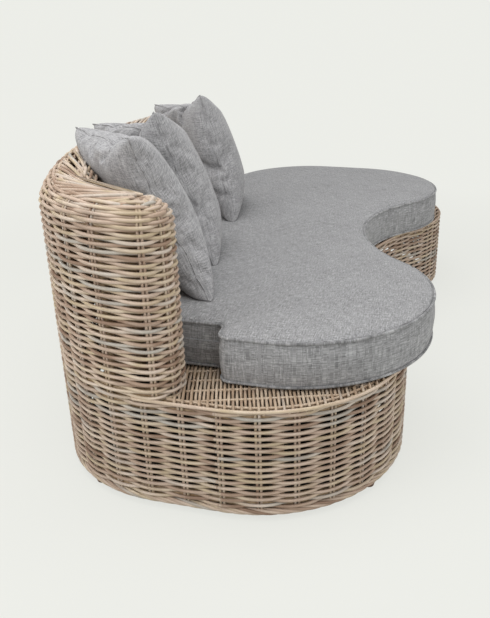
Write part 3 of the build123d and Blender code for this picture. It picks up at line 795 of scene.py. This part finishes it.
cushionTrail = (
    soft.front()
    .arc(soft.farCorner, soft.farRadius, 0, 90)
    .line(away(soft.farCorner, soft.farRadius, 90), away(soft.rear, softRadius, 90))
    .arc(soft.rear, softRadius, 90, soft.nearBearing - 90)
    .arc(soft.nearCorner, soft.nearRadius, soft.nearBearing, 180 - soft.nearBearing)
    .line(Vector((sideX, soft.nearCorner.y)), Vector((sideX, stepIn.y)))
    .arc(stepIn, cushion["stepInner"], 0, -90)
    .line(Vector((stepIn.x, stepLine)), Vector((stepOut.x, stepLine)))
    .arc(stepOut, cushion["stepOuter"], 90, 90)
    .line(Vector((edgeX, stepOut.y)), Vector((edgeX, soft.near.y)))
)


def prismOf(name, outline, low, high):
    # a closed block over an outline
    work = bmesh.new()
    ring = [work.verts.new((x, y, low)) for x, y in outline]
    floor = work.faces.new(ring)
    raised = bmesh.ops.extrude_face_region(work, geom=[floor])["geom"]
    moved = [item for item in raised if isinstance(item, bmesh.types.BMVert)]
    bmesh.ops.translate(work, verts=moved, vec=(0, 0, high - low))
    bmesh.ops.recalc_face_normals(work, faces=work.faces)
    return pieceFrom(work, name)


def settleModifiers(piece):
    # the mesh as its modifiers leave it, with the modifiers gone
    graph = bpy.context.evaluated_depsgraph_get()
    finished = bpy.data.meshes.new_from_object(piece.evaluated_get(graph))
    piece.modifiers.clear()
    piece.data = finished


def coordsOf(mesh):
    return readOut(mesh.vertices, "co", 3)


def setCoords(mesh, coords):
    mesh.vertices.foreach_set("co", coords.ravel())
    mesh.update()


def flatClothOf(mesh):
    # the cloth's own metres: seen from above on flat faces, and along the edge and up on the sides
    coords = coordsOf(mesh)
    along = cushionSteps[::4][nearestOn(coords, cushionEdge[::4])]
    corners = readOut(mesh.loops, "vertex_index", kind=np.int32)
    counts = readOut(mesh.polygons, "loop_total", kind=np.int32)
    flatFace = np.repeat(np.abs(readOut(mesh.polygons, "normal", 3)[:, 2]) > 0.6, counts)
    cloth = np.c_[along[corners], coords[corners, 2], np.full(len(corners), 0.5)]
    cloth[flatFace] = np.c_[coords[corners, :2], np.zeros(len(corners))][flatFace]
    setVectors(mesh, "cloth", "CORNER", cloth)


def riseOf(height):
    return (height - cushion["floor"]) / cushion["side"]


def bellyOf(rise):
    # how far the side stands out at a share of its height
    return np.sin(pi * rise) * cushion["belly"] - cushion["draw"]


def shapeCushion(mesh):
    coords = coordsOf(mesh)
    edge, facing = cushionEdge[::2], cushionOutward[::2]
    inset = insideOf(coords[:, :2], edge, facing)
    outward = facing[nearestOn(coords, edge)]
    rise = np.clip(riseOf(coords[:, 2]), 0, 1)
    top = np.clip((coords[:, 2] - cushionTop + cushion["shoulder"]) / cushion["shoulder"], 0, 1)
    crown = cushion["crown"] * (1 - np.exp(-np.clip(inset, 0, 1) / cushion["crownRun"]))
    wave = sum(wanderOf(coords[:, :2], *facts) for facts in cushion["waves"])
    coords[:, 2] += top * (crown + wave * np.clip(inset / cushion["waveRun"], 0, 1))
    side = np.clip(1 - inset / cushion["sideRun"], 0, 1)
    ripple = np.array([noise.noise((x * 11, y * 11, z * 16)) for x, y, z in coords]) * cushion["ripple"]
    coords[:, :2] += outward * (side * (bellyOf(rise) + ripple * np.sin(pi * rise)))[:, None]
    setCoords(mesh, coords)


cushionSteps, cushionEdge, cushionOutward = cushionTrail.sample(2400)
cushionTop = cushion["floor"] + cushion["side"]
seatCushion = prismOf("seatCushion", cushionEdge[::4], cushion["floor"] + cushion["clear"], cushionTop)
remesh = seatCushion.modifiers.new("grid", "REMESH")
remesh.mode = "VOXEL"
remesh.voxel_size = cushion["voxel"]
settleModifiers(seatCushion)
shapeCushion(seatCushion.data)
smooth = seatCushion.modifiers.new("soften", "SMOOTH")
smooth.factor = 0.5
smooth.iterations = 3
settleModifiers(seatCushion)
flatClothOf(seatCushion.data)
seatCushion.data.shade_smooth()
dress(seatCushion, cushionLinen, "seat_cushion", "cushion_fabric", "seat_cushion_cover", "seat_cushion_foam")


def addClothFromStrand(piece):
    # piping is cut from the same cloth: its strand metres serve as the cloth's
    strand = readOut(piece.data.attributes["strand"].data, "vector", 3)
    setVectors(piece.data, "cloth", "POINT", strand * (1, 0.1, 0.02))


piping = {
    "radius": 0.0036, "underTop": 0.0045, "overFloor": 0.0055, "proud": 0.0004,
    "rate": 7, "wobble": 0.0008, "laneRate": 40,
}
for name, node, height in (
    ("pipingTop", "seat_piping_top", cushionTop - piping["underTop"]),
    ("pipingBottom", "seat_piping_bottom", cushion["floor"] + piping["overFloor"]),
):
    line = cushionEdge[::5] + cushionOutward[::5] * piping["proud"]
    wobble = wanderOf(line, piping["rate"], piping["wobble"], height * piping["laneRate"])
    ring = layStrands(name, [np.c_[line, height + wobble]], piping["radius"], sides=8, seed=71)
    addClothFromStrand(ring)
    dress(ring, pipingLinenPaintedShade, "seat_cushion", "piping", node)

flap = {
    "low": 0.362, "high": 0.388, "proud": 0.0035, "bevel": 0.001, "step": 0.008,
    "fromCorner": 0.02, "fromStep": 0.006,
}


def makeZipFlap():
    # the strip of cloth over the cushion's zip, from the rear round to the step beside the back's end
    marks = cushionTrail.marks()
    work = bmesh.new()
    rows = []
    profile = [
        (0.0, flap["low"]), (flap["proud"], flap["low"] + flap["bevel"]),
        (flap["proud"], flap["high"] - flap["bevel"]), (0.0, flap["high"]),
    ]
    for step in np.arange(marks[5] + flap["fromCorner"], marks[10] - flap["fromStep"], flap["step"]):
        point, outward = cushionTrail.at(step)
        ring = []
        for proud, height in profile:
            place = point + outward * (proud + bellyOf(riseOf(height)))
            ring.append(work.verts.new((place.x, place.y, height)))
        rows.append(ring)
    for one, two in zip(rows, rows[1:]):
        for a in range(4):
            b = (a + 1) % 4
            work.faces.new((one[a], one[b], two[b], two[a]))
    work.faces.new(rows[0])
    work.faces.new(rows[-1])
    bmesh.ops.recalc_face_normals(work, faces=work.faces)
    return pieceFrom(work, "zipFlap")


zipFlap = makeZipFlap()
flatClothOf(zipFlap.data)
dress(zipFlap, cushionLinen, "seat_cushion", "cushion_fabric")
print("seat cushion made")


# ---- back pillows: a flat case is blown up as cloth, then leaned in its place

sheet = {
    "half": 0.25, "cells": 56, "parted": 0.018, "weld": 0.0005, "atEdge": 0.2499, "pressure": 7.0,
    "frames": 28, "bow": 0.075, "full": 0.74, "seam": 0.0016,
}
slack = {
    "fade": 0.3, "rate": 9, "reach": 0.009, "parting": 30, "fineRate": 24, "fineReach": 0.003, "fineLane": 5,
}
caseCloth = {
    "quality": 6, "mass": 0.25, "tension_stiffness": 22, "compression_stiffness": 22, "shear_stiffness": 8,
    "bending_stiffness": 0.06, "tension_damping": 10, "compression_damping": 10, "air_damping": 3,
    "use_pressure": True, "uniform_pressure_force": sheet["pressure"],
}


def pillowCase(name):
    # two square sheets joined round their edges, slightly parted
    work = bmesh.new()
    cells = sheet["cells"]
    bmesh.ops.create_grid(work, x_segments=cells, y_segments=cells, size=sheet["half"])
    copied = bmesh.ops.duplicate(work, geom=list(work.verts) + list(work.edges) + list(work.faces))["geom"]
    backVerts = {item for item in copied if isinstance(item, bmesh.types.BMVert)}
    backFaces = [item for item in copied if isinstance(item, bmesh.types.BMFace)]
    bmesh.ops.reverse_faces(work, faces=backFaces)
    for vert in work.verts:
        x, y = vert.co.x / sheet["half"], vert.co.y / sheet["half"]
        lift = sheet["parted"] * (max(0, 1 - x * x) * max(0, 1 - y * y)) ** 0.5
        vert.co.z = -lift if vert in backVerts else lift
    bmesh.ops.remove_doubles(work, verts=work.verts, dist=sheet["weld"])
    bmesh.ops.recalc_face_normals(work, faces=work.faces)
    return pieceFrom(work, name)


def blowUp(piece):
    cloth = piece.modifiers.new("case", "CLOTH")
    for key, value in caseCloth.items():
        setattr(cloth.settings, key, value)
    cloth.settings.effector_weights.gravity = 0
    cloth.point_cache.frame_start = 1
    cloth.point_cache.frame_end = sheet["frames"]
    for step in range(1, sheet["frames"] + 1):
        scene.frame_set(step)
    settleModifiers(piece)
    scene.frame_set(1)


def tailor(coords, seed):
    # sides cut with a slight bow, and uneven slack, so that each pillow fills out and creases in its own way
    x, y = coords[:, 0] / sheet["half"], coords[:, 1] / sheet["half"]
    found = coords.copy()
    found[:, 0] *= 1 + sheet["bow"] * (1 - y**2)
    found[:, 1] *= 1 + sheet["bow"] * (1 - x**2)
    flat = found[:, :2]
    front = wanderOf(flat, slack["rate"], slack["reach"], seed + slack["parting"])
    push = np.where(found[:, 2] > 0, front, wanderOf(flat, slack["rate"], slack["reach"], seed))
    push += wanderOf(flat, slack["fineRate"], slack["fineReach"], seed + slack["fineLane"])
    found[:, 2] += push * (1 - np.maximum(np.abs(x), np.abs(y))).clip(0) ** slack["fade"]
    return found


def fatten(coords):
    # wadding pushed out towards the seams
    half = np.abs(coords[:, 2]).max()
    found = coords.copy()
    found[:, 2] = np.sign(coords[:, 2]) * half * (np.abs(coords[:, 2]) / half) ** sheet["full"]
    return found


pillows = {
    "near_pillow": {
        "seed": 3.0, "thick": 0.165, "sag": 0.012, "ear": (-0.010, 0.042, 0.002), "heel": (0, 0, 0),
        "corners": [
            (-0.815, 0.502, 0.449), (-0.481, 0.758, 0.449), (-0.867, 0.668, 0.865), (-0.597, 0.918, 0.845),
        ],
    },
    "middle_pillow": {
        "seed": 8.0, "thick": 0.158, "sag": 0.016, "ear": (-0.110, 0.038, -0.014), "heel": (0, 0, 0),
        "corners": [
            (-0.553, 0.588, 0.449), (-0.183, 0.752, 0.449), (-0.598, 0.718, 0.885), (-0.353, 0.949, 0.845),
        ],
    },
    "far_pillow": {
        "seed": 14.0, "thick": 0.155, "sag": 0.012, "ear": (-0.130, 0.032, -0.014), "heel": (-0.02, 0.045, 0),
        "corners": [
            (-0.080, 0.644, 0.449), (0.306, 0.796, 0.449), (-0.103, 0.782, 0.875), (0.136, 0.980, 0.845),
        ],
    },
}


lean = {
    "low": 0.98, "fuller": 0.16, "crease": 0.667, "foldFrom": 1.1, "foldRun": 0.567, "foldMost": 1.1,
    "press": 0.016, "sink": 0.0004,
}


def leanPillow(coords, facts, ends):
    # carries the blown-up case to its four corners: near bottom, far bottom, near top, far top
    nearLow, farLow, nearHigh, farHigh = [
        Vector((x, depth - originDepth, height)) for x, depth, height in facts["corners"]
    ]
    reachX, reachY = (np.abs(coords[ends, axis]).mean() for axis in (0, 1))
    across = (farLow - nearLow + farHigh - nearHigh).normalized()
    up = (nearHigh - nearLow + farHigh - farLow).normalized()
    facing = np.array(across.cross(up).normalized())
    swell = facts["thick"] / (np.abs(coords[:, 2]).max() * 2)
    u = (coords[:, :1] / reachX + 1) / 2
    v = (coords[:, 1:2] / reachY + 1) / 2
    low = np.array(nearLow) * (1 - u) + np.array(farLow) * u
    high = np.array(nearHigh) * (1 - u) + np.array(farHigh) * u
    place = low * (1 - v) + high * v
    place += facing * (coords[:, 2:] * swell * (lean["low"] + lean["fuller"] * v))
    place += facing * (facts["sag"] * np.sin(pi * np.clip(u, 0, 1)) * np.sin(pi * np.clip(v, 0, 1)))
    # the far top corner folds back over the crest along a slanting crease, and the bottom is pressed flat
    fold = np.clip((v + lean["crease"] * u - lean["foldFrom"]) / lean["foldRun"], 0, lean["foldMost"])
    low = np.clip(1 - v, 0, 1)
    place += fold * np.array(facts["ear"]) + np.clip(1 - u, 0, 1) * low * np.array(facts["heel"])
    place[:, 2] -= lean["press"] * low[:, 0]
    place[:, 2] = np.maximum(place[:, 2], nearLow.z - lean["sink"])
    return place


for body, facts in pillows.items():
    label = body.split("_")[0] + "Pillow"
    case = pillowCase(label)
    rest = coordsOf(case.data)
    flat = np.abs(rest[:, :2])
    edge, ends = flat.max(1) > sheet["atEdge"], flat.min(1) > sheet["atEdge"]
    setCoords(case.data, tailor(rest, facts["seed"]))
    blowUp(case)
    blown = fatten(coordsOf(case.data))
    leaned = leanPillow(blown, facts, ends)
    setCoords(case.data, leaned)
    cloth = np.c_[rest[:, :2], np.sign(rest[:, 2]) * 0.5 + facts["seed"]]
    setVectors(case.data, "cloth", "POINT", cloth)
    fine = case.modifiers.new("fine", "SUBSURF")
    fine.levels = fine.render_levels = 1
    settleModifiers(case)
    case.data.shade_smooth()
    dress(case, pillowLinen, body, "pillow_fabric", body + "_cover", body + "_fill")
    order = np.argsort(np.arctan2(rest[edge][:, 1], rest[edge][:, 0]))
    seam = layStrands(label + "Seam", [leaned[edge][order]], sheet["seam"], seed=int(facts["seed"]))
    addClothFromStrand(seam)
    dress(seam, pillowLinen, body, "pillow_fabric", body + "_zip")
    print("pillow made:", label)


# ---- floor, light and camera

studio = {
    "paper": (0.842, 0.850, 0.807, 1), "show": 0.82, "world": 0.5, "size": 30, "dim": 0.8, "glow": (1.4, 2.6),
    "shadeInset": 0.032, "shadeLow": 0.0003, "shadeHigh": 0.0008,
}
# where each lamp stands, where it points, its size and its power
lamps = {
    "overhead": ((-0.6, 0.2, 3.6), (0, 0, 0.3), (3.5, 3.0), 90),
    "keySide": ((-3.6, 2.4, 2.6), (-0.4, 0.1, 0.4), (2.2, 2.2), 76),
    "fillFront": ((-2.8, -2.8, 1.6), (-0.3, 0, 0.4), (2.5, 2.0), 27),
    "fillRight": ((0.2, -3.6, 0.9), (0.2, -0.2, 0.2), (2.5, 1.2), 17),
}
view = {
    "place": (-2.3886, -0.660, 1.1406), "ahead": (0.97076, 0.24003), "pitch": 23.06, "lens": 40.92,
    "sensor": 36, "shift": -0.0882, "farthest": 200,
}


def makeFloor():
    # paper that is shown brighter the farther it lies from the sofa, and a dark patch inside the base:
    # painted shadow
    work = bmesh.new()
    bmesh.ops.create_grid(work, x_segments=1, y_segments=1, size=studio["size"])
    floor = pieceFrom(work, "floor")
    finish = Finish("studioFloor", 0.9, Specular_IOR_Level=0.1)
    paper = studio["paper"]
    finish.set("Base Color", tuple(studio["dim"] * c for c in paper[:3]) + (1,))
    place = finish.objectPlace()
    reach = finish.node("ShaderNodeVectorMath", {"operation": "LENGTH"}, {0: place}, output=1)
    far = finish.spread(reach, *studio["glow"], studio["show"], 1.0)
    seen = finish.node("ShaderNodeLightPath")
    glow = finish.node("ShaderNodeEmission", None, {"Color": paper, "Strength": 1.0})
    finish.blendInto("Material Output", seen * far, Signal(finish, finish.shader.outputs[0]), glow)
    floor.data.materials.append(finish.material)
    # a dark sheet on the floor inside the base stands in for the shade there: painted shadow
    outline = seatEdge[0][::7] - seatEdge[1][::7] * studio["shadeInset"]
    shade = prismOf("floorShade", outline, studio["shadeLow"], studio["shadeHigh"])
    shaded = plainFinish("shadedFloor", (0.03, 0.025, 0.02), (0.05, 0.042, 0.035), 0.9, 4.0)
    shade.data.materials.append(shaded)


def makeWorld():
    # lights the sofa evenly, and shows the camera the paper's colour
    world = bpy.data.worlds.new("studio")
    world.use_nodes = True
    scene.world = world
    shading = Shading(world.node_tree)
    fill = shading.tree.nodes["Background"]
    fill.inputs["Color"].default_value = (1.0, 1.0, 1.0, 1)
    fill.inputs["Strength"].default_value = studio["world"]
    shown = shading.node("ShaderNodeBackground", None, {"Color": studio["paper"]})
    seen = shading.node("ShaderNodeLightPath")
    shading.blendInto("World Output", seen, Signal(shading, fill.outputs[0]), shown)


def softLamp(name, place, target, size, power):
    light = bpy.data.lights.new(name, "AREA")
    light.shape = "RECTANGLE"
    light.size, light.size_y = size
    light.energy = power
    lamp = linked(name, light)
    lamp.location = place
    lamp.rotation_mode = "QUATERNION"
    lamp.rotation_quaternion = (Vector(target) - Vector(place)).to_track_quat("-Z", "Y")


def makeCamera():
    data = bpy.data.cameras.new("camera")
    data.lens = view["lens"]
    data.sensor_width = view["sensor"]
    data.shift_x = view["shift"]
    data.clip_end = view["farthest"]
    camera = linked("camera", data)
    tilt = radians(view["pitch"])
    ahead = Vector((view["ahead"][0] * cos(tilt), view["ahead"][1] * cos(tilt), -sin(tilt)))
    right = ahead.cross(Vector((0, 0, 1))).normalized()
    above = right.cross(ahead)
    turn = Matrix((right, above, -ahead)).transposed()
    camera.matrix_world = Matrix.Translation(view["place"]) @ turn.to_4x4()
    scene.camera = camera


makeFloor()
makeWorld()
for name, facts in lamps.items():
    softLamp(name, *facts)
makeCamera()
scene.view_settings.view_transform = "Standard"
print("stage set")
